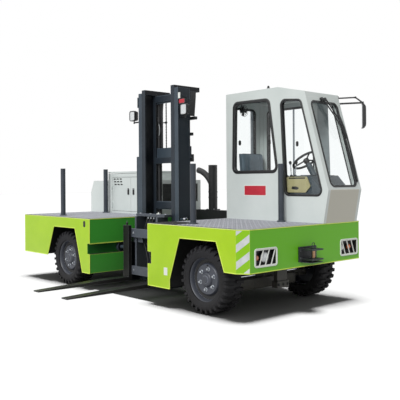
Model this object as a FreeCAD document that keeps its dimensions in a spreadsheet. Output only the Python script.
"""Electric sideloader: a side-loading lift truck with a reach mast, as a parametric FreeCAD document.

Millimetres. +X runs to the cab end, +Y from the load side to the far side, +Z up. The origin lies on the
ground under the middle of the truck's box. Driving sizes are cells of the sheet Size; places worked out
from them are properties of the set At.
"""
import FreeCAD
import Part
import math
import os
import re
import Sketcher

doc = FreeCAD.newDocument("Sideloader")
Vector = FreeCAD.Vector

# ---------------------------------------------------------------- driving sizes
SIZES = [
    # lengths along the truck
    ("rear_body", 1840), ("bay_width", 1275), ("front_body", 1565), ("hitch_reach", 150),
    ("rear_hub", 688), ("front_hub", 896),
    # widths across the truck
    ("body_width", 1994), ("mirror_out", 140), ("rail_inset", 560), ("rail_width", 80),
    # heights
    ("deck_top", 953), ("deck_plate", 6), ("skirt_plate", 8), ("leg_bottom", 224), ("arch_top", 811),
    ("rear_bottom", 390), ("front_bottom", 503), ("rail_bottom", 600),
    ("channel_low", 478), ("channel_high", 622), ("channel_deep", 60),
    ("chamfer_long", 112), ("chamfer_wide", 88), ("skirt_round", 30),
    # wheel arches, measured from the hub
    ("rear_arch_low_front", 502), ("rear_arch_top_front", 316), ("rear_arch_top_back", 263),
    ("rear_arch_low_back", 446), ("front_arch_low_back", 498), ("front_arch_bend", 334),
    ("front_arch_top_back", 324), ("front_arch_top_front", 270), ("front_arch_low_front", 389),
    # wheels and axles
    ("tyre_radius", 375), ("tyre_width", 280), ("tyre_inset", 50), ("rim_radius", 240), ("rim_wall", 22),
    ("bead_in", 14), ("bead_high", 24), ("shoulder_high", 44), ("shoulder_wide", 26),
    ("rim_width", 220), ("disc_back", 40), ("disc_thick", 16), ("hub_radius", 70), ("hub_out", 24),
    ("hub_taper", 8), ("spindle", 30), ("kingpin_offset", 50), ("kingpin", 22), ("knuckle_radius", 46),
    ("knuckle_half", 70), ("lug_thick", 36), ("lug_wall", 20), ("lug_long", 70), ("axle_high", 110),
    ("axle_wide", 120), ("beam_end", 30), ("axle_tube", 70), ("tube_end", 40), ("drive_case", 150),
    ("drive_length", 320), ("motor_radius", 108), ("motor_length", 360), ("steer_barrel", 36),
    ("steer_barrel_length", 300), ("steer_rod", 16), ("steer_ahead", 130), ("steer_arm_wide", 36),
    ("steer_arm_thick", 24), ("bridge_half", 30),
    # gaps: a round fit, a seated face, moving pieces, and how far a cutter passes a face
    ("running_gap", 0.05), ("seat_gap", 0.3), ("working_gap", 5), ("cut_over", 5),
    # spine on the far side, hose post
    ("spine_wide", 134), ("spine_top", 1014), ("spine_bottom", 300), ("post_radius", 66), ("post_high", 670),
    ("post_from_bay", 350), ("arm_radius", 45), ("arm_reach", 320), ("arm_low", 316),
    ("arm_knee_back", 120), ("arm_knee_up", 185), ("arm_end_up", 598),
    # deck stakes
    ("stake_radius", 35), ("stake_high", 690), ("collar_radius", 52), ("collar_high", 14),
    ("stake_a_x", 1030), ("stake_a_y", 200), ("stake_b_x", 1280), ("stake_b_house", 80),
    ("stake_c_x", 1050), ("stake_c_y", 260), ("stake_d_x", 560), ("stake_d_cab", 75),
    # power housing on the rear deck
    ("house_wide", 804), ("house_bay_gap", 260), ("house_tall_length", 1060), ("house_low_top", 1464),
    ("house_tall_top", 1604), ("house_wall", 25), ("house_slope_long", 90), ("house_slope_high", 190),
    ("lid_depth", 26), ("door_gap", 6), ("door_a_start", 110), ("door_seam", 610), ("door_edge", 30),
    ("grille_border", 55), ("grille_up", 185), ("grille_thick", 12), ("hinge_radius", 9), ("hinge_long", 40),
    ("hinge_leaf", 24), ("hinge_sheet", 4), ("door_hinge_low", 90), ("door_hinge_high", 270),
    ("lid_hinge_rear", 120), ("lid_hinge_front", 220),
    ("battery_long", 880), ("battery_wide", 640), ("battery_high", 480),
    # cab
    ("cab_wall", 45), ("cab_length", 1560), ("cab_far_in", 44), ("cab_wide", 650), ("roof_top", 2574),
    ("roof_thick", 60), ("roof_bend", 670), ("roof_bend_in", 8), ("brow_back", 260), ("brow_in", 17),
    ("brow_top", 2484), ("bulge_out", 70), ("bulge_top", 1329), ("nose_foot", 90), ("nose_step", 10),
    ("floor_thick", 40), ("glass_thick", 6), ("window_round", 60),
    ("pane_low", 1560), ("pane_high", 2440), ("pane_front_high", 2432), ("pane_back_low", 1426),
    ("pane_back_top", 1406), ("pane_front_top", 820), ("pane_front_low", 690),
    ("vent_low", 1272), ("vent_back_high", 2414), ("vent_front_high", 2384), ("vent_back_low", 560),
    ("vent_back_top", 620), ("vent_front_top", 320), ("vent_front_low", 10),
    ("far_vent_back_low", 440), ("far_vent_back_top", 470),
    ("screen_low", 1375), ("screen_high", 2370), ("screen_border", 30),
    ("rear_pane_border", 95), ("rear_pane_high", 2400), ("door_low", 1000), ("door_high", 2460),
    ("door_back", 1450), ("door_front", 530), ("door_pane_border", 75), ("door_pane_low", 1480),
    ("cab_hinge_low", 150), ("cab_hinge_high", 300),
    # inside the cab
    ("seat_back_x", 1420), ("seat_long", 470), ("seat_wide", 440), ("seat_top", 1500), ("seat_thick", 100),
    ("seat_base_in", 40), ("back_thick", 90), ("back_top", 1810), ("back_lean", 30), ("dash_back", 560),
    ("dash_top", 1500), ("dash_low", 1330), ("dash_front", 70), ("dash_front_top", 230),
    ("dash_back_top", 440), ("dash_back_foot", 420), ("dash_side_gap", 2),
    ("column_radius", 26), ("column_long", 320), ("column_below", 340), ("wheel_ring", 170),
    ("wheel_grip", 14), ("wheel_up", 1690), ("wheel_back", 500), ("wheel_tilt", 35), ("boss_radius", 36),
    ("boss_long", 40), ("boss_below", 30), ("spoke_radius", 9),
    # front fittings
    ("lamp_wide", 355), ("lamp_high", 200), ("lamp_deep", 60), ("lamp_low", 553), ("lamp_border", 24),
    ("lamp_near", 150), ("lamp_far", 30), ("hitch_wide", 300), ("hitch_high", 165), ("hitch_low", 555),
    ("hitch_plate", 16), ("ear_half", 100), ("hitch_pin", 18), ("hitch_pin_out", 90), ("pin_below", 10),
    ("pin_head", 30), ("pin_head_high", 14), ("hitch_gap", 90), ("mirror_tube", 11), ("mirror_brace", 9),
    ("mirror_bar", 2385), ("mirror_bar_back", 20), ("mirror_ahead", 20), ("mirror_fall", 6),
    ("mirror_hang", 24), ("mirror_high", 290), ("mirror_wide", 150), ("mirror_thick", 24),
    ("mirror_turn", 38), ("mirror_boss", 13), ("mirror_collar", 11),
    ("mirror_foot_wide", 50), ("mirror_foot_thick", 12), ("mirror_foot_high", 110),
    ("mirror_foot_below", 18), ("brace_up", 68), ("brace_along", 0.72),
    # reach mast, at rest
    ("mast_front", 660), ("mast_half", 420), ("rail_depth", 200), ("rail_wall", 20), ("rail_flange", 70),
    ("mast_bottom", 200), ("mast_top", 2645), ("nest_gap", 6), ("tie_thick", 25), ("tie_low", 1064),
    ("tie_mid", 1748), ("tie_mid_high", 150), ("tie_upper", 2505), ("tie_high", 110),
    ("inner_tie_up", 20), ("inner_mid_below", 60),
    ("inner_tie_high", 80), ("inner_top", 2684), ("inner_bottom", 215),
    ("cap_thick", 60), ("cap_back", 240), ("lift_x", 300), ("lift_barrel", 36), ("lift_rod", 22),
    ("lift_barrel_top", 2320), ("lift_foot", 30), ("lift_bore_up", 30), ("lift_rod_up", 60), ("roller", 62),
    # reach carriage
    ("cheek_gap", 12), ("cheek_thick", 40), ("cheek_low", 100), ("cheek_high", 780), ("cheek_before", 200),
    ("cheek_behind", 75), ("beam_high", 65), ("beam_front", 20), ("beam_back", 40), ("pivot_up", 420),
    ("pivot_back", 60), ("pivot_radius", 26), ("pivot_end", 8), ("pin_end", 6), ("pin_root", 1),
    ("reach_roller", 66), ("reach_stub", 24), ("reach_roller_wide", 44),
    # tilt cylinders
    ("tilt_foot_back", 200), ("tilt_foot_up", 260), ("tilt_eye_back", 40), ("tilt_eye_up", 960),
    ("tilt_barrel", 27), ("tilt_rod", 15), ("tilt_pin", 12), ("eye_gap", 3), ("eye_thick", 30),
    ("foot_ring", 13), ("eye_ring", 10), ("tilt_tube_start", 20), ("tilt_tube_end", 430),
    ("tilt_bore_start", 60), ("tilt_rod_start", 100),
    # fork carriage and forks
    ("bar_front", 420), ("bar_deep", 45), ("bar_high", 110), ("bar_low", 215), ("bar_upper", 710),
    ("bar_half", 420), ("arm_x", 225), ("arm_thick", 30), ("arm_top", 985), ("arm_weld", 10),
    ("arm_back_gap", 40), ("riser_gap", 30), ("shelf_half", 300), ("shelf_thick", 30), ("shelf_deep", 120),
    ("shelf_gap", 20), ("fork_spacing", 660), ("fork_width", 120), ("fork_length", 1310),
    ("shank_thick", 50), ("fork_low", 134), ("shank_top", 864), ("heel_thick", 48), ("tip_thick", 14),
    ("fork_taper", 900),
    # work lamps
    ("work_lamp", 90), ("work_lamp_high", 135), ("work_lamp_deep", 70), ("work_lamp_up", 2290),
    ("work_lamp_in", 10),
]
sheet = doc.addObject("Spreadsheet::Sheet", "Size")
for row, (alias, value) in enumerate(SIZES, start=1):
    sheet.set(f"A{row}", alias)
    sheet.set(f"B{row}", str(value))
    sheet.setAlias(f"B{row}", alias)

# ---------------------------------------------------------------- places worked out from the sizes
PLACES = [
    ("rear", "-(rear_body + bay_width + front_body + hitch_reach) / 2"),
    ("bay_rear", "rear + rear_body"),
    ("bay_front", "bay_rear + bay_width"),
    ("front", "bay_front + front_body"),
    ("bay_mid", "(bay_rear + bay_front) / 2"),
    ("rear_axle_x", "bay_rear - rear_hub"),
    ("front_axle_x", "bay_front + front_hub"),
    ("fork_out", "fork_length - bar_front + shank_thick"),
    ("side", "(fork_out - body_width - mirror_out) / 2"),
    ("far", "side + body_width"),
    ("middle", "side + body_width / 2"),
    ("frame_top", "deck_top - deck_plate"),
    ("chamfer_run", "sqrt(chamfer_long ^ 2 + chamfer_wide ^ 2)"),
    ("tyre_mid", "tyre_inset + tyre_width / 2"),
    ("kingpin_in", "tyre_mid + kingpin_offset"),
    ("hub_in", "tyre_mid - rim_width / 2 + disc_back - hub_out"),
    ("mast_face", "side + mast_front"),
    ("mast_back", "mast_face + rail_depth"),
    ("inner_half", "mast_half - rail_flange - nest_gap"),
    ("bar_face", "side + bar_front"),
    ("cheek_x", "mast_half + cheek_gap"),
    ("pivot_y", "mast_face + pivot_back"),
    ("house_x1", "bay_rear - house_bay_gap - house_tall_length"),
    ("house_x2", "house_x1 + house_tall_length"),
    ("house_y", "far - house_wide"),
    ("lid_line", "house_tall_top - lid_depth - door_gap"),
    ("cab_back", "front - cab_length"),
    ("cab_y1", "far - cab_far_in - cab_wide"),
    ("cab_y2", "far - cab_far_in"),
    ("cab_in1", "cab_y1 + cab_wall"),
    ("cab_in2", "cab_y2 - cab_wall"),
    ("cab_mid", "(cab_y1 + cab_y2) / 2"),
    ("nose_top", "brow_top - roof_thick"),
    ("nose_brow", "front - brow_back + brow_in"),
    ("nose_bulge", "front + bulge_out"),
    ("door_x1", "front - door_back"),
    ("door_x2", "front - door_front"),
    ("tie_back", "mast_back + tie_thick"),
    ("lift_y", "tie_back + lift_barrel + seat_gap"),
    ("tilt_x", "cheek_x + cheek_thick + working_gap + tilt_barrel"),
    ("roller_up", "channel_low + reach_roller + seat_gap"),
]
size_names = {alias for alias, value in SIZES}
place_names = {name for name, rule in PLACES}


def full(text):
    """A rule in plain names, with each name pointed at the sheet or at the set of places."""
    def prefix(match):
        word = match.group(0)
        if word in size_names:
            return "Size." + word
        if word in place_names:
            return "At." + word
        return word
    return re.sub(r"[a-z_][a-z_0-9]*", prefix, str(text))


places = doc.addObject("App::VarSet", "At")
for name, rule in PLACES:
    places.addProperty("App::PropertyFloat", name)
for name, rule in PLACES:
    places.setExpression(name, full(rule))
doc.recompute()


def value(text):
    """The present value of a rule, for pieces whose shape is set by Part's own functions."""
    return float(places.evalExpression(full(text).replace("At.", ".")))


# ---------------------------------------------------------------- how pieces are made
nodes = []


def node(label, piece):
    """Name a finished sub-part; its label names its file."""
    piece.Label = label
    nodes.append(piece)
    return piece


def block(name, x, y, z):
    """A box from its low to its high rule on each axis."""
    box = doc.addObject("Part::Box", name)
    for side, axis, (low, high) in zip(("Length", "Width", "Height"), "xyz", (x, y, z)):
        box.setExpression(side, full(f"({high}) - ({low})"))
        box.setExpression(f"Placement.Base.{axis}", full(low))
    return box


TURNS = {"x": FreeCAD.Rotation(Vector(0, 1, 0), 90), "y": FreeCAD.Rotation(Vector(1, 0, 0), -90),
         "z": FreeCAD.Rotation()}


def rod(name, axis, centre, radius, low, high):
    """A round bar along one axis; centre gives its place on the other two axes."""
    bar = doc.addObject("Part::Cylinder", name)
    bar.setExpression("Radius", full(radius))
    bar.setExpression("Height", full(f"({high}) - ({low})"))
    bar.Placement = FreeCAD.Placement(Vector(), TURNS[axis])
    rules = dict(zip([a for a in "xyz" if a != axis], centre))
    rules[axis] = low
    for a in "xyz":
        bar.setExpression(f"Placement.Base.{a}", full(rules[a]))
    return bar


def joined(name, pieces):
    """Several pieces welded into one."""
    weld = doc.addObject("Part::MultiFuse", name)
    weld.Shapes = pieces
    weld.Refine = True
    return weld


def without(name, piece, tools):
    """A piece with tools cut out of it."""
    tool = tools[0] if len(tools) == 1 else joined(name + "_tools", tools)
    cut = doc.addObject("Part::Cut", name)
    cut.Base = piece
    cut.Tool = tool
    cut.Refine = True
    return cut


def together(name, pieces):
    """Pieces that share a node without touching."""
    group = doc.addObject("Part::Compound", name)
    group.Links = pieces
    return group


PLANES = {"xy": ("XY_Plane", 1), "xz": ("XZ_Plane", -1), "yz": ("YZ_Plane", 1)}


def outline(body, plane, points, offset):
    """A closed sketch of straight lines, each corner bound to its pair of rules."""
    role, sense = PLANES[plane]
    sketch = body.newObject("Sketcher::SketchObject", body.Name + "_outline")
    datum = next(f for f in body.Origin.OriginFeatures if f.Role == role)
    sketch.AttachmentSupport = (datum, [""])
    sketch.MapMode = "FlatFace"
    sketch.setExpression("AttachmentOffset.Base.z", full(f"{sense} * ({offset})"))
    corners = [Vector(value(u), value(v), 0) for u, v in points]
    count = len(corners)
    for i in range(count):
        sketch.addGeometry(Part.LineSegment(corners[i], corners[(i + 1) % count]), False)
    for i in range(count):
        sketch.addConstraint(Sketcher.Constraint("Coincident", i, 2, (i + 1) % count, 1))
    for i, (u, v) in enumerate(points):
        across = sketch.addConstraint(Sketcher.Constraint("DistanceX", -1, 1, i, 1, corners[i].x))
        sketch.setExpression(f"Constraints[{across}]", full(u))
        along = sketch.addConstraint(Sketcher.Constraint("DistanceY", -1, 1, i, 1, corners[i].y))
        sketch.setExpression(f"Constraints[{along}]", full(v))
    return sketch


def plate(name, plane, points, low, high, round_off=None, corners=None):
    """A flat piece: an outline padded from low to high; chosen corners may be rounded."""
    body = doc.addObject("PartDesign::Body", name)
    sketch = outline(body, plane, points, low)
    pad = body.newObject("PartDesign::Pad", name + "_pad")
    pad.Profile = sketch
    pad.Reversed = PLANES[plane][1] < 0
    pad.setExpression("Length", full(f"({high}) - ({low})"))
    if round_off:
        doc.recompute()
        picked = [points[i] for i in (corners if corners is not None else range(len(points)))]
        fillet = body.newObject("PartDesign::Fillet", name + "_round")
        fillet.Base = (pad, edges_at(pad.Shape, plane, picked))
        fillet.setExpression("Radius", full(round_off))
    return body


def edges_at(shape, plane, corners):
    """Names of the pad's straight edges that stand on the given corners."""
    found = []
    for u, v in corners:
        want = (value(u), value(v))
        for number, edge in enumerate(shape.Edges, start=1):
            ends = [vertex.Point for vertex in edge.Vertexes]
            flat = [tuple(getattr(p, axis) for axis in plane) for p in ends]
            if all(math.dist(f, want) < 0.01 for f in flat):
                found.append(f"Edge{number}")
    return found


def turned(name, points, x, y, z, flipped=False):
    """A piece of revolution about its own Y axis; points are (along, out) pairs of rules."""
    body = doc.addObject("PartDesign::Body", name)
    sketch = outline(body, "yz", points, "0")
    spin = body.newObject("PartDesign::Revolution", name + "_spin")
    spin.Profile = sketch
    spin.ReferenceAxis = (sketch, ["H_Axis"])
    spin.Angle = 360
    if flipped:
        body.Placement = FreeCAD.Placement(Vector(), FreeCAD.Rotation(Vector(0, 0, 1), 180))
    for axis, rule in zip("xyz", (x, y, z)):
        body.setExpression(f"Placement.Base.{axis}", full(rule))
    return body


def span(sense, near, away):
    """Two places on one side of the bay's middle, in rising order; sense is -1 or 1."""
    ends = (f"bay_mid + {sense} * ({near})", f"bay_mid + {sense} * ({away})")
    return ends if sense > 0 else ends[::-1]


def hinge(name, axis, centre, lows, sheet_y, fixed, moving):
    """Butt hinges on one line: at each low end a fixed knuckle, and past it the moving one.

    centre holds the line's place on the other two axes. fixed and moving give each leaf's reach on the
    axis across the line, and sheet_y the leaves' thickness span.
    """
    halves = ([], [])
    for i, low in enumerate(lows):
        for half, leaf, start in ((0, fixed, low), (1, moving, f"{low} + hinge_long + seat_gap")):
            along = (start, f"{start} + hinge_long")
            spans = {"y": sheet_y, axis: along}
            spans.update({a: leaf for a in "xyz" if a not in spans})
            tag = f"{name}{i}{half}"
            halves[half].append(rod(f"{tag}_knuckle", axis, centre, "hinge_radius", *along))
            halves[half].append(block(f"{tag}_leaf", spans["x"], spans["y"], spans["z"]))
    return halves


# ---------------------------------------------------------------- rear body
def rear_skirt_points():
    return [("rear", "frame_top"), ("rear", "rear_bottom"),
            ("rear_axle_x - rear_arch_low_back", "rear_bottom"),
            ("rear_axle_x - rear_arch_top_back", "arch_top"),
            ("rear_axle_x + rear_arch_top_front", "arch_top"),
            ("rear_axle_x + rear_arch_low_front", "leg_bottom"),
            ("bay_rear", "leg_bottom"), ("bay_rear", "channel_low"),
            ("bay_rear - channel_deep", "channel_low"), ("bay_rear - channel_deep", "channel_high"),
            ("bay_rear", "channel_high"), ("bay_rear", "frame_top")]


def rear_body():
    near = plate("RearSkirtNear", "xz", rear_skirt_points(), "side", "side + skirt_plate",
                 "skirt_round", [3, 4])
    far = plate("RearSkirtFar", "xz", rear_skirt_points(), "far - skirt_plate", "far",
                "skirt_round", [3, 4])
    end = block("RearEnd", ("rear", "rear + skirt_plate"), ("side", "far"), ("rear_bottom", "frame_top"))
    wall = bay_wall("RearBayWall", "bay_rear", "-1")
    node("rear_body", joined("RearBody", [near, far, end, wall]))


def bay_wall(name, face, sense):
    """The wall beside the bay, folded inward into a channel that guides the reach carriage."""
    steps = [("0", "leg_bottom"), ("0", "channel_low"), ("channel_deep", "channel_low"),
             ("channel_deep", "channel_high"), ("0", "channel_high"), ("0", "frame_top"),
             ("skirt_plate", "frame_top"), ("skirt_plate", "channel_high + skirt_plate"),
             ("channel_deep + skirt_plate", "channel_high + skirt_plate"),
             ("channel_deep + skirt_plate", "channel_low - skirt_plate"),
             ("skirt_plate", "channel_low - skirt_plate"), ("skirt_plate", "leg_bottom")]
    points = [(f"{face} + ({sense}) * ({back})", up) for back, up in steps]
    return plate(name, "xz", points, "side", "far")


# ---------------------------------------------------------------- front body
def front_skirt_points(stop):
    return [("bay_front", "frame_top"), ("bay_front", "channel_high"),
            ("bay_front + channel_deep", "channel_high"), ("bay_front + channel_deep", "channel_low"),
            ("bay_front", "channel_low"), ("bay_front", "leg_bottom"),
            ("front_axle_x - front_arch_low_back", "leg_bottom"),
            ("front_axle_x - front_arch_low_back", "front_arch_bend"),
            ("front_axle_x - front_arch_top_back", "arch_top"),
            ("front_axle_x + front_arch_top_front", "arch_top"),
            ("front_axle_x + front_arch_low_front", "front_bottom"),
            (stop, "front_bottom"), (stop, "frame_top")]


def front_body():
    near = plate("FrontSkirtNear", "xz", front_skirt_points("front - chamfer_long"),
                 "side", "side + skirt_plate", "skirt_round", [8, 9])
    far = plate("FrontSkirtFar", "xz", front_skirt_points("front"), "far - skirt_plate", "far",
                "skirt_round", [8, 9])
    inner_y = "side + chamfer_wide + skirt_plate * (chamfer_run - chamfer_wide) / chamfer_long"
    inner_x = "front - chamfer_long - skirt_plate * (chamfer_run - chamfer_long) / chamfer_wide"
    corner = [("front - chamfer_long", "side"), ("front", "side + chamfer_wide"), ("front", "far"),
              ("front - skirt_plate", "far"), ("front - skirt_plate", inner_y),
              (inner_x, "side + skirt_plate")]
    panel = plate("FrontPanel", "xy", corner, "front_bottom", "frame_top")
    wall = bay_wall("FrontBayWall", "bay_front", "1")
    shell = joined("FrontShell", [near, far, panel, wall])
    wells = [block(f"LampWell{i}", ("front - skirt_plate - cut_over", "front + cut_over"), y,
                   ("lamp_low + lamp_border", "lamp_low + lamp_high - lamp_border"))
             for i, y in enumerate(lamp_spans("lamp_border"))]
    node("front_body", without("FrontBody", shell, wells))


def lamp_spans(border):
    """Where each lamp unit lies across the front panel, less a border."""
    return [(f"side + lamp_near + {border}", f"side + lamp_near + lamp_wide - {border}"),
            (f"far - lamp_far - lamp_wide + {border}", f"far - lamp_far - {border}")]


def lamp_units():
    """A plate round each opening, with a tray behind it."""
    units = []
    for i, (outer, inner) in enumerate(zip(lamp_spans("0"), lamp_spans("lamp_border"))):
        frame = block(f"LampFrame{i}", ("front", "front + skirt_plate"), outer,
                      ("lamp_low", "lamp_low + lamp_high"))
        mouth = block(f"LampMouth{i}", ("front - cut_over", "front + skirt_plate + cut_over"), inner,
                      ("lamp_low + lamp_border", "lamp_low + lamp_high - lamp_border"))
        rim = without(f"LampRim{i}", frame, [mouth])
        tray = block(f"LampTray{i}", ("front - lamp_deep", "front + skirt_plate / 2"), inner,
                     ("lamp_low + lamp_border", "lamp_low + lamp_high - lamp_border"))
        hollow_y = lamp_spans("lamp_border + skirt_plate")[i]
        hollow = block(f"LampHollow{i}", ("front - lamp_deep + skirt_plate", "front + skirt_plate"), hollow_y,
                       ("lamp_low + lamp_border + skirt_plate",
                        "lamp_low + lamp_high - lamp_border - skirt_plate"))
        box = without(f"LampBox{i}", tray, [hollow])
        units.append(joined(f"LampUnit{i}", [rim, box]))
    node("lamp_units", together("LampUnits", units))


# ---------------------------------------------------------------- decks and stakes
def decks():
    node("rear_deck", block("RearDeck", ("rear", "bay_rear"), ("side", "far"), ("frame_top", "deck_top")))
    points = [("bay_front", "side"), ("front - chamfer_long", "side"), ("front", "side + chamfer_wide"),
              ("front", "far"), ("bay_front", "far")]
    node("front_deck", plate("FrontDeck", "xy", points, "frame_top", "deck_top"))


def deck_stakes():
    """Round posts that keep the load on the decks, each on a collar."""
    spots = [("bay_rear - stake_a_x", "side + stake_a_y"), ("bay_rear - stake_b_x", "house_y - stake_b_house"),
             ("front - stake_c_x", "side + stake_c_y"), ("front - stake_d_x", "cab_y1 - stake_d_cab")]
    stakes = []
    for i, spot in enumerate(spots):
        post = rod(f"Stake{i}", "z", spot, "stake_radius", "deck_top", "deck_top + stake_high")
        collar = rod(f"Collar{i}", "z", spot, "collar_radius", "deck_top", "deck_top + collar_high")
        stakes.append(joined(f"StakePost{i}", [post, collar]))
    node("deck_stakes", together("DeckStakes", stakes))


# ---------------------------------------------------------------- chassis under the decks
def chassis():
    """Two rails under each deck with a cross member and axle seats, and the spine past the bay."""
    rails = [(y, f"{y} + rail_width") for y in ("side + rail_inset", "far - rail_inset - rail_width")]
    rear = under_frame("Rear", ("rear + skirt_plate", "bay_rear - channel_deep - skirt_plate"), rails,
                       "rear_axle_x")
    for i, y in enumerate(rails):
        rear.append(block(f"RearSeat{i}", ("rear_axle_x - axle_tube / 2", "rear_axle_x + axle_tube / 2"), y,
                          ("tyre_radius", "rail_bottom")))
    hollow = rod("SeatHollow", "y", ("rear_axle_x", "tyre_radius"), "axle_tube", "side", "far")
    node("rear_chassis", without("RearChassis", joined("RearRails", rear), [hollow]))
    front = under_frame("Front", ("bay_front + channel_deep + skirt_plate", "front - lamp_deep"), rails,
                        "front_axle_x")
    front.append(block("FrontSeat", ("front_axle_x - axle_wide / 2", "front_axle_x + axle_wide / 2"),
                       ("middle - rail_width", "middle + rail_width"),
                       ("tyre_radius + axle_high / 2", "rail_bottom")))
    node("front_chassis", joined("FrontChassis", front))
    node("spine_beam", block("Spine", ("bay_rear", "bay_front"), ("far - spine_wide", "far"),
                             ("spine_bottom", "spine_top")))


def under_frame(run, x, rails, axle):
    """A pair of rails and the cross member that ties them over an axle."""
    parts = [block(f"{run}Rail{i}", x, y, ("rail_bottom", "frame_top")) for i, y in enumerate(rails)]
    parts.append(block(f"{run}Cross", (f"{axle} - axle_wide", f"{axle} + axle_wide"),
                       ("side + rail_inset", "far - rail_inset"),
                       ("rail_bottom", "rail_bottom + rail_width")))
    return parts


def hose_post():
    """Post on the spine with a bent arm that carries the mast hoses."""
    x = value("bay_rear + post_from_bay")
    y = value("far - spine_wide / 2")
    foot = value("spine_top")
    post = Part.makeCylinder(value("post_radius"), value("post_high"), Vector(x, y, foot))
    start = Vector(x, y, foot + value("arm_low"))
    knee = start + Vector(-value("arm_knee_back"), 0, value("arm_knee_up"))
    end = Vector(x - value("arm_reach"), y, foot + value("arm_end_up"))
    arc = Part.Arc(start, knee, end).toShape()
    ring = Part.Wire(Part.makeCircle(value("arm_radius"), start, arc.tangentAt(arc.FirstParameter)))
    arm = Part.Wire(arc).makePipeShell([ring], True, True)
    shape = doc.addObject("Part::Feature", "HosePost")
    shape.Shape = post.fuse(arm).removeSplitter()
    node("hose_post", shape)


# ---------------------------------------------------------------- axles and wheels
WHEELS = [("rear_near", "rear_axle_x", False), ("rear_far", "rear_axle_x", True),
          ("front_near", "front_axle_x", False), ("front_far", "front_axle_x", True)]


def wheels():
    """A heavy solid-cushion tyre on a dished steel rim, four times."""
    half = [("tyre_width / 2 - bead_in", "rim_radius"), ("tyre_width / 2", "rim_radius + bead_high"),
            ("tyre_width / 2", "tyre_radius - shoulder_high"),
            ("tyre_width / 2 - shoulder_wide", "tyre_radius")]
    tread = [(f"-({along})", out) for along, out in half] + half[::-1]
    face = "-rim_width / 2 + disc_back"
    dish = [("-rim_width / 2", "rim_radius"), ("-rim_width / 2", "rim_radius - rim_wall"),
            (face, "rim_radius - rim_wall"), (face, "hub_radius"),
            (f"{face} - hub_out", "hub_radius - hub_taper"), (f"{face} - hub_out", "spindle + running_gap"),
            (f"{face} + 2 * disc_thick", "spindle + running_gap"),
            (f"{face} + 2 * disc_thick", "hub_radius"), (f"{face} + disc_thick", "hub_radius"),
            (f"{face} + disc_thick", "rim_radius - rim_wall"),
            ("rim_width / 2", "rim_radius - rim_wall"), ("rim_width / 2", "rim_radius")]
    for where, x, far_side in WHEELS:
        y = "far - tyre_mid" if far_side else "side + tyre_mid"
        node(f"tyre_{where}", turned(f"Tyre_{where}", tread, x, y, "tyre_radius", far_side))
        node(f"rim_{where}", turned(f"Rim_{where}", dish, x, y, "tyre_radius", far_side))


def rear_axle():
    """A driven tube axle with its drive case and motor, and a stub through each wheel's hub."""
    here = ("rear_axle_x", "tyre_radius")
    tube = rod("AxleTube", "y", here, "axle_tube", "side + tyre_mid + tube_end", "far - tyre_mid - tube_end")
    case = rod("DriveCase", "y", here, "drive_case", "middle - drive_length / 2", "middle + drive_length / 2")
    motor = rod("DriveMotor", "x", ("middle", "tyre_radius"), "motor_radius",
                "rear_axle_x - motor_length", "rear_axle_x")
    stub = rod("AxleStub", "y", here, "spindle", "side + hub_in", "far - hub_in")
    node("rear_axle", joined("RearAxle", [tube, case, motor, stub]))


KINGPINS = [("near", "side + kingpin_in", 1), ("far", "far - kingpin_in", -1)]


def front_axle():
    """A beam with a forked end at each kingpin, and the steering cylinder ahead of it."""
    mid = "tyre_radius"
    lug_in = "knuckle_half + working_gap"
    lug_out = "knuckle_half + working_gap + lug_thick"
    parts = [block("AxleBeam", ("front_axle_x - axle_wide / 2", "front_axle_x + axle_wide / 2"),
                   ("side + kingpin_in + knuckle_radius + beam_end",
                    "far - kingpin_in - knuckle_radius - beam_end"),
                   (f"{mid} - axle_high / 2", f"{mid} + axle_high / 2"))]
    pins = []
    x = ("front_axle_x - kingpin - lug_wall", "front_axle_x + kingpin + lug_wall")
    for where, pin, sense in KINGPINS:
        deep = f"{pin} + {sense} * (knuckle_radius + lug_long)"
        root = f"{pin} + {sense} * (knuckle_radius + working_gap)"
        for level, z in (("Upper", (f"{mid} + {lug_in}", f"{mid} + {lug_out}")),
                         ("Lower", (f"{mid} - ({lug_out})", f"{mid} - ({lug_in})"))):
            parts.append(block(f"{level}Lug_{where}", x, (pin, deep)[::sense], z))
            parts.append(rod(f"{level}LugEnd_{where}", "z", ("front_axle_x", pin), "kingpin + lug_wall", *z))
        parts.append(block(f"LugWeb_{where}", x, (root, deep)[::sense],
                           (f"{mid} - ({lug_out})", f"{mid} + {lug_out}")))
        pins.append(rod(f"PinHole_{where}", "z", ("front_axle_x", pin), "kingpin + running_gap",
                        f"{mid} - ({lug_out}) - cut_over", f"{mid} + {lug_out} + cut_over"))
    at = ("front_axle_x + steer_ahead", mid)
    barrel = rod("SteerBarrel", "y", at, "steer_barrel", "middle - steer_barrel_length / 2",
                 "middle + steer_barrel_length / 2")
    bridge = block("SteerBridge", ("front_axle_x", "front_axle_x + steer_ahead"),
                   ("middle - rail_width", "middle + rail_width"),
                   (f"{mid} - bridge_half", f"{mid} + bridge_half"))
    bore = rod("SteerBore", "y", at, "steer_rod + running_gap", "side", "far")
    node("front_axle", without("AxleDrilled", joined("AxleWeld", parts + [barrel, bridge]), pins + [bore]))
    node("steering_rod", rod("SteerRod", "y", at, "steer_rod", "side + kingpin_in", "far - kingpin_in"))


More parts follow.
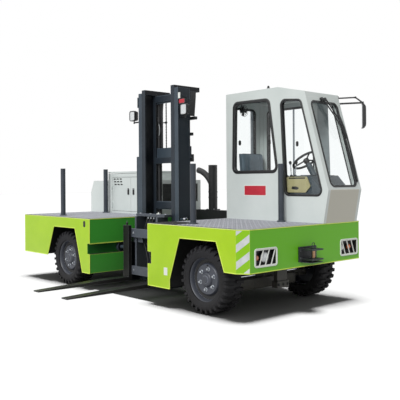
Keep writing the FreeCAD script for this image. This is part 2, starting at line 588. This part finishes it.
def knuckles():
    """A hub that turns on its kingpin, with a spindle outward and a steering arm forward."""
    pin_half = "knuckle_half + working_gap + lug_thick"
    ends = {"near": "side + hub_in", "far": "far - hub_in"}
    arm_low = "tyre_radius + steer_rod + working_gap"
    for where, pin, sense in KINGPINS:
        hub = rod(f"KnuckleHub_{where}", "z", ("front_axle_x", pin), "knuckle_radius",
                  "tyre_radius - knuckle_half", "tyre_radius + knuckle_half")
        king = rod(f"KingPin_{where}", "z", ("front_axle_x", pin), "kingpin",
                   f"tyre_radius - ({pin_half})", f"tyre_radius + {pin_half}")
        axle = rod(f"Spindle_{where}", "y", ("front_axle_x", "tyre_radius"), "spindle",
                   *(ends[where], pin)[::sense])
        arm = block(f"SteerArm_{where}", ("front_axle_x", "front_axle_x + steer_ahead + steer_arm_wide / 2"),
                    (f"{pin} - steer_arm_wide / 2", f"{pin} + steer_arm_wide / 2"),
                    (arm_low, f"{arm_low} + steer_arm_thick"))
        node(f"knuckle_{where}", joined(f"Knuckle_{where}", [hub, king, axle, arm]))


# ---------------------------------------------------------------- power housing
def housing():
    """Sheet housing on the rear deck: a low part, a tall part with doors and lid, and a grille end."""
    y = ("house_y", "far")
    low_points = [("rear", "deck_top"), ("rear", "house_low_top - house_slope_high"),
                  ("rear + house_slope_long", "house_low_top"), ("bay_rear", "house_low_top"),
                  ("bay_rear", "deck_top")]
    outer_low = plate("HouseLow", "xz", low_points, *y)
    outer_tall = block("HouseTall", ("house_x1", "house_x2"), y, ("deck_top", "lid_line"))
    shell = joined("HouseOuter", [outer_low, outer_tall])
    inner_points = [("rear + house_wall", "deck_top - cut_over"),
                    ("rear + house_wall", "house_low_top - house_slope_high"),
                    ("rear + house_slope_long + house_wall", "house_low_top - house_wall"),
                    ("bay_rear - house_wall", "house_low_top - house_wall"),
                    ("bay_rear - house_wall", "deck_top - cut_over")]
    room = plate("HouseRoom", "xz", inner_points, "house_y + house_wall", "far - house_wall")
    attic = block("HouseAttic", ("house_x1 + house_wall", "house_x2 - house_wall"),
                  ("house_y + house_wall", "far - house_wall"), ("deck_top", "house_tall_top"))
    doorway = block("HouseDoorway", ("house_x1 + door_a_start", "house_x2 - door_edge"),
                    ("house_y - cut_over", "house_y + house_wall + cut_over"),
                    ("deck_top + door_edge", "house_tall_top - lid_depth - 2 * door_edge"))
    grille_y = ("house_y + grille_border", "far - grille_border")
    grille_z = ("deck_top + grille_up", "house_low_top - grille_border")
    window = block("HouseWindow", ("bay_rear - house_wall - cut_over", "bay_rear + cut_over"),
                   grille_y, grille_z)
    sheet_y = ("house_y - hinge_sheet", "house_y")
    x1 = "house_x1 + door_a_start + door_gap / 2"
    x2 = "house_x2 - door_edge - door_gap / 2"
    lows = ("deck_top + door_hinge_low", "house_tall_top - door_hinge_high")
    rear_fixed, rear_moving = hinge("RearDoorHinge", "z", (x1, "house_y - hinge_radius"), lows, sheet_y,
                                    (f"{x1} - hinge_leaf", x1), (x1, f"{x1} + hinge_leaf"))
    front_fixed, front_moving = hinge("FrontDoorHinge", "z", (x2, "house_y - hinge_radius"), lows, sheet_y,
                                      (x2, f"{x2} + hinge_leaf"), (f"{x2} - hinge_leaf", x2))
    line = "lid_line + door_gap / 2"
    lid_fixed, lid_moving = hinge("LidHinge", "x", ("far + hinge_radius", line),
                                  ("house_x1 + lid_hinge_rear", "house_x2 - lid_hinge_front"),
                                  ("far", "far + hinge_sheet"),
                                  (f"{line} - hinge_leaf", line), (line, f"{line} + hinge_leaf"))
    body = without("HousingShell", shell, [room, attic, doorway, window])
    node("housing_shell", joined("HousingHinged", [body] + rear_fixed + front_fixed + lid_fixed))
    housing_doors(rear_moving, front_moving)
    battery_lid(lid_moving)
    grille_x = ("bay_rear - (house_wall + grille_thick) / 2", "bay_rear - (house_wall - grille_thick) / 2")
    node("housing_grille", block("Grille", grille_x, grille_y, grille_z))


def housing_doors(rear_hinges, front_hinges):
    """Two flush doors that hang at the outer ends of one doorway."""
    z = ("deck_top + door_edge + door_gap", "house_tall_top - lid_depth - 2 * door_edge - door_gap")
    y = ("house_y", "house_y + house_wall")
    spans = {"rear": ("house_x1 + door_a_start + door_gap", "house_x1 + door_seam - door_gap / 2"),
             "front": ("house_x1 + door_seam + door_gap / 2", "house_x2 - door_edge - door_gap")}
    for (where, x), hinges in zip(spans.items(), (rear_hinges, front_hinges)):
        panel = block(f"HousingDoor_{where}", x, y, z)
        node(f"housing_door_{where}", joined(f"HousingDoorHinged_{where}", [panel] + hinges))


def battery_lid(hinges):
    """The flat lid of the tall part, over a block that stands for the traction battery."""
    top = block("LidTop", ("house_x1", "house_x2"), ("house_y", "far"),
                ("lid_line + door_gap", "house_tall_top"))
    node("battery_lid", joined("BatteryLid", [top] + hinges))
    x, y = "(house_x1 + house_x2) / 2", "(house_y + far) / 2"
    node("battery_block", block("Battery", (f"{x} - battery_long / 2", f"{x} + battery_long / 2"),
                                (f"{y} - battery_wide / 2", f"{y} + battery_wide / 2"),
                                ("deck_top", "deck_top + battery_high")))


# ---------------------------------------------------------------- cab
CAB_SIDE = [("cab_back", "deck_top"), ("cab_back", "roof_top"), ("front - roof_bend", "roof_top"),
            ("front - brow_back", "brow_top"), ("front + bulge_out", "bulge_top"), ("front", "deck_top")]
SIDE_PANE = [("front - pane_back_low", "pane_low"), ("front - pane_back_top", "pane_high"),
             ("front - pane_front_top", "pane_front_high"), ("front - pane_front_low", "pane_low")]
VENT_PANE = [("front - vent_back_low", "vent_low"), ("front - vent_back_top", "vent_back_high"),
             ("front - vent_front_top", "vent_front_high"), ("front - vent_front_low", "vent_low")]
FAR_VENT_PANE = [("front - far_vent_back_low", "vent_low"), ("front - far_vent_back_top", "vent_back_high"),
                 *VENT_PANE[2:]]
BACK_PANE = [("cab_in1 + rear_pane_border", "pane_low"), ("cab_in2 - rear_pane_border", "pane_low"),
             ("cab_in2 - rear_pane_border", "rear_pane_high"),
             ("cab_in1 + rear_pane_border", "rear_pane_high")]
SCREEN = [("cab_in1 + screen_border", "screen_low"), ("cab_in2 - screen_border", "screen_low"),
          ("cab_in2 - screen_border", "screen_high"), ("cab_in1 + screen_border", "screen_high")]
DOOR_PANE = [("door_x1 + door_pane_border", "door_pane_low"), ("door_x2 - door_pane_border", "door_pane_low"),
             ("door_x2 - door_pane_border", "door_high - door_pane_border"),
             ("door_x1 + door_pane_border", "door_high - door_pane_border")]


def cab_side_wall():
    wall = plate("CabSideWall", "xz", CAB_SIDE, "cab_y1", "cab_in1")
    through = ("cab_y1 - cut_over", "cab_in1 + cut_over")
    holes = [plate("SidePaneHole", "xz", SIDE_PANE, *through, "window_round"),
             plate("VentPaneHole", "xz", VENT_PANE, *through, "window_round")]
    node("cab_side_wall", without("CabSide", wall, holes))


def cab_far_wall():
    """The wall with the doorway; returns the door's halves of the hinges."""
    wall = plate("CabFarWall", "xz", CAB_SIDE, "cab_in2", "cab_y2")
    doorway = block("CabDoorway", ("door_x1 - door_gap", "door_x2 + door_gap"),
                    ("cab_in2 - cut_over", "cab_y2 + cut_over"),
                    ("door_low - door_gap", "door_high + door_gap"))
    fixed, moving = hinge("DoorHinge", "z", ("door_x1 - door_gap / 2", "cab_y2 + hinge_radius"),
                          ("door_low + cab_hinge_low", "door_high - cab_hinge_high"),
                          ("cab_y2", "cab_y2 + hinge_sheet"),
                          ("door_x1 - door_gap / 2 - hinge_leaf", "door_x1 - door_gap / 2"),
                          ("door_x1 - door_gap / 2", "door_x1 + hinge_leaf"))
    vent = plate("FarVentHole", "xz", FAR_VENT_PANE, "cab_in2 - cut_over", "cab_y2 + cut_over", "window_round")
    node("cab_far_wall", joined("CabFarHinged", [without("CabFar", wall, [doorway, vent])] + fixed))
    return moving


def cab_rear_wall():
    wall = block("RearWall", ("cab_back", "cab_back + cab_wall"), ("cab_in1", "cab_in2"),
                 ("deck_top + floor_thick", "roof_top - roof_thick"))
    hole = plate("RearWallHole", "yz", BACK_PANE, "cab_back - cut_over", "cab_back + cab_wall + cut_over",
                 "window_round")
    node("cab_rear_wall", without("CabRear", wall, [hole]))


def cab_roof():
    points = [("cab_back", "roof_top - roof_thick"), ("cab_back", "roof_top"),
              ("front - roof_bend", "roof_top"), ("front - brow_back", "brow_top"), ("nose_brow", "nose_top"),
              ("front - roof_bend - roof_bend_in", "roof_top - roof_thick")]
    node("cab_roof", plate("CabRoof", "xz", points, "cab_in1", "cab_in2"))


def cab_floor():
    node("cab_floor", block("CabFloor", ("cab_back", "front - nose_foot"), ("cab_in1", "cab_in2"),
                            ("deck_top", "deck_top + floor_thick")))


def cab_nose():
    """The front shell: windscreen frame above, nose panel below."""
    points = [("front", "deck_top"), ("nose_bulge", "bulge_top"), ("nose_brow", "nose_top"),
              ("nose_brow - cab_wall", "nose_top"), ("nose_bulge - cab_wall", "bulge_top"),
              ("front - nose_foot + nose_step", "deck_top + floor_thick"),
              ("front - nose_foot", "deck_top + floor_thick"), ("front - nose_foot", "deck_top")]
    shell = plate("NoseShell", "xz", points, "cab_in1", "cab_in2")
    mouth = plate("ScreenHole", "yz", SCREEN, "nose_brow - 2 * cab_wall", "nose_bulge + cab_wall",
                  "window_round")
    node("cab_nose", without("CabNose", shell, [mouth]))


def cab_windows():
    """Fixed panes, each set in the middle of its wall."""
    half = "glass_thick / 2"
    side_mid = "(cab_y1 + cab_in1) / 2"
    far_mid = "(cab_in2 + cab_y2) / 2"
    panes = [plate(name, plane, points, f"{mid} - {half}", f"{mid} + {half}", "window_round")
             for name, plane, points, mid in (("SidePane", "xz", SIDE_PANE, side_mid),
                                              ("VentPane", "xz", VENT_PANE, side_mid),
                                              ("FarVentPane", "xz", FAR_VENT_PANE, far_mid),
                                              ("BackPane", "yz", BACK_PANE, "cab_back + cab_wall / 2"))]
    slab_points = [(f"{line} - cab_wall / 2 {sign} {half}", up)
                   for line, up, signs in (("nose_bulge", "bulge_top", "-+"), ("nose_brow", "nose_top", "+-"))
                   for sign in signs]
    slab = plate("ScreenSlab", "xz", slab_points, "cab_in1", "cab_in2")
    trim = plate("ScreenTrim", "yz", SCREEN, "nose_brow - 2 * cab_wall", "nose_bulge + cab_wall",
                 "window_round")
    screen = doc.addObject("Part::Common", "Windscreen")
    screen.Base = slab
    screen.Tool = trim
    node("cab_windows", together("CabWindows", panes + [screen]))


def cab_door(hinges):
    leaf = block("DoorLeaf", ("door_x1", "door_x2"), ("cab_in2", "cab_y2"), ("door_low", "door_high"))
    hole = plate("DoorHole", "xz", DOOR_PANE, "cab_in2 - cut_over", "cab_y2 + cut_over", "window_round")
    node("cab_door", joined("CabDoorHinged", [without("CabDoor", leaf, [hole])] + hinges))
    mid = "(cab_in2 + cab_y2) / 2"
    node("door_glass", plate("DoorGlass", "xz", DOOR_PANE, f"{mid} - glass_thick / 2",
                             f"{mid} + glass_thick / 2", "window_round"))


# ---------------------------------------------------------------- inside the cab
def seat():
    """A closed seat box, and on it the cushion and backrest as one plain solid."""
    x = "front - seat_back_x"
    low, high = "cab_mid - seat_wide / 2", "cab_mid + seat_wide / 2"
    under = "seat_top - seat_thick"
    node("seat_base", block("SeatBase", (f"{x} + seat_base_in", f"{x} + seat_long - seat_base_in"),
                            (f"{low} + seat_base_in", f"{high} - seat_base_in"),
                            ("deck_top + floor_thick", under)))
    points = [(f"{x} + seat_long", under), (f"{x} + seat_long", "seat_top"),
              (f"{x} + back_thick", "seat_top"), (f"{x} + back_thick - back_lean", "back_top"),
              (f"{x} - back_lean", "back_top"), (x, under)]
    node("seat_cushion", plate("SeatCushion", "xz", points, low, high))


def dashboard():
    floor = "deck_top + floor_thick"
    points = [("front - nose_foot", floor), ("front - dash_front", "dash_low"),
              ("front - dash_front_top", "dash_top"), ("front - dash_back_top", "dash_top"),
              ("front - dash_back", "dash_low"), ("front - dash_back_foot", floor)]
    node("dashboard", plate("Dashboard", "xz", points, "cab_in1 + dash_side_gap", "cab_in2 - dash_side_gap"))


def steering_wheel():
    """Column rising out of the dashboard, with a ring of round section and three spokes."""
    centre = Vector(value("front - wheel_back"), value("cab_mid"), value("wheel_up"))
    lean = math.radians(value("wheel_tilt"))
    axis = Vector(-math.sin(lean), 0, math.cos(lean))
    ring = Part.makeTorus(value("wheel_ring"), value("wheel_grip"), centre, axis)
    boss = Part.makeCylinder(value("boss_radius"), value("boss_long"), centre - axis * value("boss_below"),
                             axis)
    shape = ring.fuse(boss)
    flat = Vector(math.cos(lean), 0, math.sin(lean))
    for turn in (90, 210, 330):
        direction = flat * math.cos(math.radians(turn)) + Vector(0, 1, 0) * math.sin(math.radians(turn))
        shape = shape.fuse(Part.makeCylinder(value("spoke_radius"), value("wheel_ring"), centre, direction))
    column = Part.makeCylinder(value("column_radius"), value("column_long"),
                               centre - axis * value("column_below"), axis)
    feature = doc.addObject("Part::Feature", "SteeringWheel")
    feature.Shape = shape.fuse(column).cut(doc.getObject("Dashboard").Shape).removeSplitter()
    if len(feature.Shape.Solids) > 1:
        feature.Shape = max(feature.Shape.Solids, key=lambda s: s.Volume)
    node("steering_wheel", feature)


# ---------------------------------------------------------------- outside the cab
def mirror():
    """Mirror on two tubes, the upper one bent down to the lower, from a bracket by the roof's far corner."""
    tube, bar = value("mirror_tube"), value("mirror_bar")
    thick, wide, high = value("mirror_thick"), value("mirror_wide"), value("mirror_high")
    turn = math.radians(value("mirror_turn"))
    half = (wide * math.cos(turn) + thick * math.sin(turn)) / 2
    start = Vector(value("front - brow_back - mirror_bar_back"),
                   value("cab_y2 + mirror_tube + pin_root"), bar)
    corner = Vector(value("front + mirror_ahead"), value("far + mirror_out") - half,
                    bar - value("mirror_fall"))
    head_top = bar - value("mirror_hang")
    along = corner - start
    foot = Part.makeBox(value("mirror_foot_wide"), value("mirror_foot_thick"), value("mirror_foot_high"),
                        Vector(start.x - value("mirror_foot_wide") / 2, value("cab_y2"),
                               start.z - value("mirror_foot_below")))
    arm = Part.makeCylinder(tube, along.Length, start, along)
    boss = value("mirror_boss")
    drop = Part.makeCylinder(boss, corner.z + boss - head_top, Vector(corner.x, corner.y, head_top))
    high_start = start + Vector(0, 0, value("brace_up"))
    run = along * value("brace_along")
    bend = high_start + run
    brace = Part.makeCylinder(value("mirror_brace"), run.Length, high_start, run)
    collar = value("mirror_collar")
    elbow = Part.makeCylinder(collar, 2 * collar, bend - Vector(0, 0, collar))
    fall = Part.makeCylinder(value("mirror_brace"), (corner - bend).Length, bend, corner - bend)
    head = Part.makeBox(thick, wide, high, Vector(-thick / 2, -wide / 2, 0))
    head.Placement = FreeCAD.Placement(Vector(corner.x, corner.y, head_top - high),
                                       FreeCAD.Rotation(Vector(0, 0, 1), value("mirror_turn")))
    feature = doc.addObject("Part::Feature", "Mirror")
    feature.Shape = foot.fuse([arm, drop, brace, elbow, fall, head]).removeSplitter()
    node("mirror", feature)


def tow_hitch():
    """Bolted plate with two ears and a drop-in pin."""
    mid = "hitch_low + hitch_high / 2"
    inner, outer = "hitch_gap / 2", "hitch_gap / 2 + hitch_plate"
    parts = [block("HitchBack", ("front", "front + hitch_plate"),
                   ("middle - hitch_wide / 2", "middle + hitch_wide / 2"),
                   ("hitch_low", "hitch_low + hitch_high"))]
    for level, z in (("Lower", (f"{mid} - ({outer})", f"{mid} - {inner}")),
                     ("Upper", (f"{mid} + {inner}", f"{mid} + {outer}"))):
        parts.append(block(f"{level}Ear", ("front", "front + hitch_reach"),
                           ("middle - ear_half", "middle + ear_half"), z))
    at = ("front + hitch_pin_out", "middle")
    hole = rod("HitchHole", "z", at, "hitch_pin + seat_gap", "hitch_low", "hitch_low + hitch_high")
    body = without("HitchBody", joined("HitchWeld", parts), [hole])
    seat_z = f"{mid} + {outer} + seat_gap"
    shaft = rod("HitchShaft", "z", at, "hitch_pin", f"{mid} - ({outer}) - pin_below", seat_z)
    head = rod("HitchHead", "z", at, "pin_head", seat_z, f"{seat_z} + pin_head_high")
    node("tow_hitch", together("TowHitch", [body, joined("HitchPin", [shaft, head])]))


# ---------------------------------------------------------------- reach carriage
BAY_ENDS = [("rear", -1), ("front", 1)]


def reach_carriage():
    """Two cheeks beside the mast, a beam under it, and rollers in the channels of the bay walls."""
    front, back = "mast_face - cheek_before", "mast_back + cheek_behind"
    wall = "bay_width / 2 + channel_deep - working_gap"
    cheek = ("cheek_x", "cheek_x + cheek_thick")
    parts = [block("ReachBeam", ("bay_mid - cheek_x", "bay_mid + cheek_x"),
                   ("mast_face + beam_front", "mast_back + beam_back"),
                   ("cheek_low", "cheek_low + beam_high"))]
    bores = []
    for end, sense in BAY_ENDS:
        parts.append(block(f"Cheek_{end}", span(sense, *cheek), (front, back), ("cheek_low", "cheek_high")))
        for place, at_y in (("Front", f"{front} + reach_roller"), ("Back", f"{back} - reach_roller")):
            here = (at_y, "roller_up")
            parts.append(rod(f"{place}Stub_{end}", "x", here, "reach_stub",
                             *span(sense, "cheek_x + pin_root", wall)))
            parts.append(rod(f"{place}Roller_{end}", "x", here, "reach_roller",
                             *span(sense, f"{wall} - reach_roller_wide", wall)))
        parts.append(rod(f"TiltFootPin_{end}", "x", ("mast_face + tilt_foot_back", "tilt_foot_up"),
                         "tilt_pin", *span(sense, "cheek_x + pin_root", "tilt_x + eye_thick / 2 + pin_end")))
        bores.append(rod(f"PivotBore_{end}", "x", ("pivot_y", "pivot_up"), "pivot_radius + running_gap",
                         *span(sense, "cheek_x - cut_over", "cheek_x + cheek_thick + cut_over")))
    node("reach_carriage", without("ReachBody", joined("ReachWeld", parts), bores))


# ---------------------------------------------------------------- outer mast
def channel_points(half, sense):
    """A channel section, its web outward and its flanges toward the middle of the bay."""
    out = f"bay_mid + {sense} * ({half})"
    tip = f"bay_mid + {sense} * ({half} - rail_flange)"
    web = f"bay_mid + {sense} * ({half} - rail_wall)"
    front, back = "mast_face", "mast_back"
    return [(out, front), (tip, front), (tip, f"{front} + rail_wall"), (web, f"{front} + rail_wall"),
            (web, f"{back} - rail_wall"), (tip, f"{back} - rail_wall"), (tip, back), (out, back)]


def outer_mast():
    """Two rails with pivot and eye pins, ties across their backs, and the lift barrels."""
    root = "mast_half - rail_wall / 2"
    for end, sense in BAY_ENDS:
        rail = plate(f"OuterRail_{end}", "xy", channel_points("mast_half", sense), "mast_bottom", "mast_top")
        pivot = rod(f"PivotPin_{end}", "x", ("pivot_y", "pivot_up"), "pivot_radius",
                    *span(sense, root, "cheek_x + cheek_thick + pivot_end"))
        eye = rod(f"EyePin_{end}", "x", ("mast_face + tilt_eye_back", "tilt_eye_up"), "tilt_pin",
                  *span(sense, root, "tilt_x + eye_thick / 2 + pin_end"))
        node(f"mast_rail_{end}", joined(f"MastRail_{end}", [rail, pivot, eye]))
    x = ("bay_mid - mast_half", "bay_mid + mast_half")
    ties = [block(f"Tie_{low}", x, ("mast_back", "tie_back"), (low, f"{low} + {high}"))
            for low, high in (("tie_low", "tie_high"), ("tie_mid", "tie_mid_high"), ("tie_upper", "tie_high"))]
    ties.append(block("TieFoot", x, ("mast_back", "lift_y + lift_barrel"),
                      ("mast_bottom", "mast_bottom + lift_foot")))
    node("mast_ties", together("MastTies", ties))
    barrels = []
    foot = "mast_bottom + lift_foot"
    for end, sense in BAY_ENDS:
        at = (f"bay_mid + {sense} * lift_x", "lift_y")
        tube = rod(f"LiftTube_{end}", "z", at, "lift_barrel", foot, "lift_barrel_top")
        bore = rod(f"LiftBore_{end}", "z", at, "lift_rod + running_gap", f"{foot} + lift_bore_up",
                   "lift_barrel_top + cut_over")
        barrels.append(without(f"LiftBarrel_{end}", tube, [bore]))
    node("lift_cylinders", together("LiftCylinders", barrels))


def tilt_cylinders():
    """Barrels pivoting on the reach carriage; their rods reach up to the eyes behind the mast."""
    foot = Vector(0, value("mast_face + tilt_foot_back"), value("tilt_foot_up"))
    eye = Vector(0, value("mast_face + tilt_eye_back"), value("tilt_eye_up"))
    long = (eye - foot).Length
    along = (eye - foot).normalize()
    pin, gap = value("tilt_pin"), value("eye_gap")

    def ring(centre, radius, wider=0):
        thick = value("eye_thick") + 2 * wider
        return Part.makeCylinder(radius, thick, centre - Vector(thick / 2, 0, 0), Vector(1, 0, 0))

    def tube(start, low, high, radius):
        return Part.makeCylinder(radius, high - low, start + along * low, along)

    barrels = []
    rods = []
    for end, sense in BAY_ENDS:
        side = Vector(value(f"bay_mid + {sense} * tilt_x"), 0, 0)
        barrel = ring(foot + side, pin + value("foot_ring")).fuse(
            tube(foot + side, value("tilt_tube_start"), value("tilt_tube_end"), value("tilt_barrel")))
        barrel = barrel.cut(ring(foot + side, value("tilt_pin + running_gap"), value("cut_over")))
        bore = tube(foot + side, value("tilt_bore_start"), value("tilt_tube_end + cut_over"),
                    value("tilt_rod + running_gap"))
        barrels.append(barrel.cut(bore).removeSplitter())
        shaft = tube(foot + side, value("tilt_rod_start"), long - pin, value("tilt_rod"))
        top = ring(eye + side, pin + gap + value("eye_ring"))
        hole = ring(eye + side, pin + gap, value("cut_over"))
        rods.append(shaft.fuse(top).cut(hole).removeSplitter())
    for label, shapes in (("tilt_barrels", barrels), ("tilt_rods", rods)):
        feature = doc.addObject("Part::Feature", label.title().replace("_", ""))
        feature.Shape = Part.makeCompound(shapes)
        node(label, feature)


# ---------------------------------------------------------------- inner mast
def inner_mast():
    """Two channels nested in the outer rails, tied at the back, with caps that the lift rods push."""
    parts = []
    for end, sense in BAY_ENDS:
        parts.append(plate(f"InnerRail_{end}", "xy", channel_points("inner_half", sense),
                           "inner_bottom", "inner_top"))
        parts.append(block(f"Cap_{end}", span(sense, "inner_half - rail_flange", "inner_half"),
                           ("mast_face", "mast_back + cap_back"), ("inner_top - cap_thick", "inner_top")))
        parts.append(rod(f"LiftRod_{end}", "z", (f"bay_mid + {sense} * lift_x", "lift_y"), "lift_rod",
                         "mast_bottom + lift_foot + lift_rod_up", "inner_top - cap_thick + pin_root"))
    inside = ("bay_mid - inner_half + rail_wall / 2", "bay_mid + inner_half - rail_wall / 2")
    for low in ("tie_low + inner_tie_up", "tie_mid - inner_mid_below", "tie_upper + inner_tie_up"):
        parts.append(block(f"InnerTie_{low.split()[0]}", inside, ("mast_back - rail_wall", "mast_back"),
                           (low, f"{low} + inner_tie_high")))
    node("inner_mast", joined("InnerMast", parts))


# ---------------------------------------------------------------- fork carriage and forks
def fork_carriage():
    """Two bars that carry the forks, on arms that reach back to rollers in the inner rails."""
    bar_back = "bar_face + bar_deep"
    arm_front = f"{bar_back} - arm_weld"
    parts = []
    for low in ("bar_low", "bar_upper"):
        parts.append(block(f"Bar_{low}", ("bay_mid - bar_half", "bay_mid + bar_half"),
                           ("bar_face", bar_back), (low, f"{low} + bar_high")))
    for end, sense in BAY_ENDS:
        x = span(sense, "arm_x - arm_thick / 2", "arm_x + arm_thick / 2")
        parts.append(block(f"Arm_{end}", x, (arm_front, "mast_back - rail_wall - arm_back_gap"),
                           ("bar_low", "bar_upper + bar_high")))
        parts.append(block(f"Riser_{end}", x, (arm_front, "mast_face - riser_gap"), ("bar_upper", "arm_top")))
        for place, up in (("Low", "bar_low + roller"), ("High", "bar_upper + bar_high - roller")):
            parts.append(rod(f"{place}Roller_{end}", "x", ("mast_face + rail_wall + roller + seat_gap", up),
                             "roller", *span(sense, "arm_x", "inner_half - rail_wall - working_gap")))
    parts.append(block("Shelf", ("bay_mid - shelf_half", "bay_mid + shelf_half"),
                       ("mast_face - shelf_gap - shelf_deep", "mast_face - shelf_gap"),
                       ("arm_top", "arm_top + shelf_thick")))
    node("fork_carriage", joined("ForkCarriage", parts))


def forks():
    """An upright shank against the bars, and a blade that tapers to its tip."""
    back = "bar_face - seat_gap"
    tip = "side - fork_out"
    points = [(back, "fork_low"), (back, "shank_top"), (f"{back} - shank_thick", "shank_top"),
              (f"{back} - shank_thick", "fork_low + heel_thick"),
              (f"{tip} + fork_taper", "fork_low + heel_thick"), (tip, "fork_low + tip_thick"),
              (tip, "fork_low")]
    for end, sense in BAY_ENDS:
        x = span(sense, "(fork_spacing - fork_width) / 2", "(fork_spacing + fork_width) / 2")
        node(f"fork_{end}", plate(f"Fork_{end}", "yz", points, *x))


def work_lamps():
    """A lamp body on the outer face of each rail, near its top."""
    y = ("mast_face + work_lamp_in", "mast_face + work_lamp_in + work_lamp_deep")
    z = ("work_lamp_up", "work_lamp_up + work_lamp_high")
    lamps = [block(f"WorkLamp_{end}", span(sense, "mast_half + seat_gap", "mast_half + seat_gap + work_lamp"),
                   y, z) for end, sense in BAY_ENDS]
    node("work_lamps", together("WorkLamps", lamps))


# ---------------------------------------------------------------- build, check, write
for make in (rear_body, front_body, lamp_units, decks, deck_stakes, chassis, hose_post, wheels, rear_axle,
             front_axle, knuckles, housing, cab_side_wall, cab_rear_wall, cab_roof, cab_floor, cab_nose,
             cab_windows, seat, dashboard):
    make()
cab_door(cab_far_wall())
doc.recompute()
for make in (steering_wheel, mirror, tow_hitch, reach_carriage, outer_mast, tilt_cylinders, inner_mast,
             fork_carriage, forks, work_lamps):
    make()
doc.recompute()

for piece in doc.Objects:
    if {"Invalid", "Error"} & set(piece.State):
        raise RuntimeError(f"{piece.Name} did not build: {piece.State}")
os.makedirs("parts", exist_ok=True)
for piece in nodes:
    if piece.Shape.isNull() or not piece.Shape.isValid():
        raise RuntimeError(f"{piece.Label} has no valid shape")
for piece in nodes:
    piece.Shape.exportStep(f"parts/{piece.Label}.step")
    box = piece.Shape.BoundBox
    print(f"{piece.Label:24s} solids {len(piece.Shape.Solids)}  x {box.XMin:8.1f} {box.XMax:8.1f}"
          f"  y {box.YMin:8.1f} {box.YMax:8.1f}  z {box.ZMin:8.1f} {box.ZMax:8.1f}")
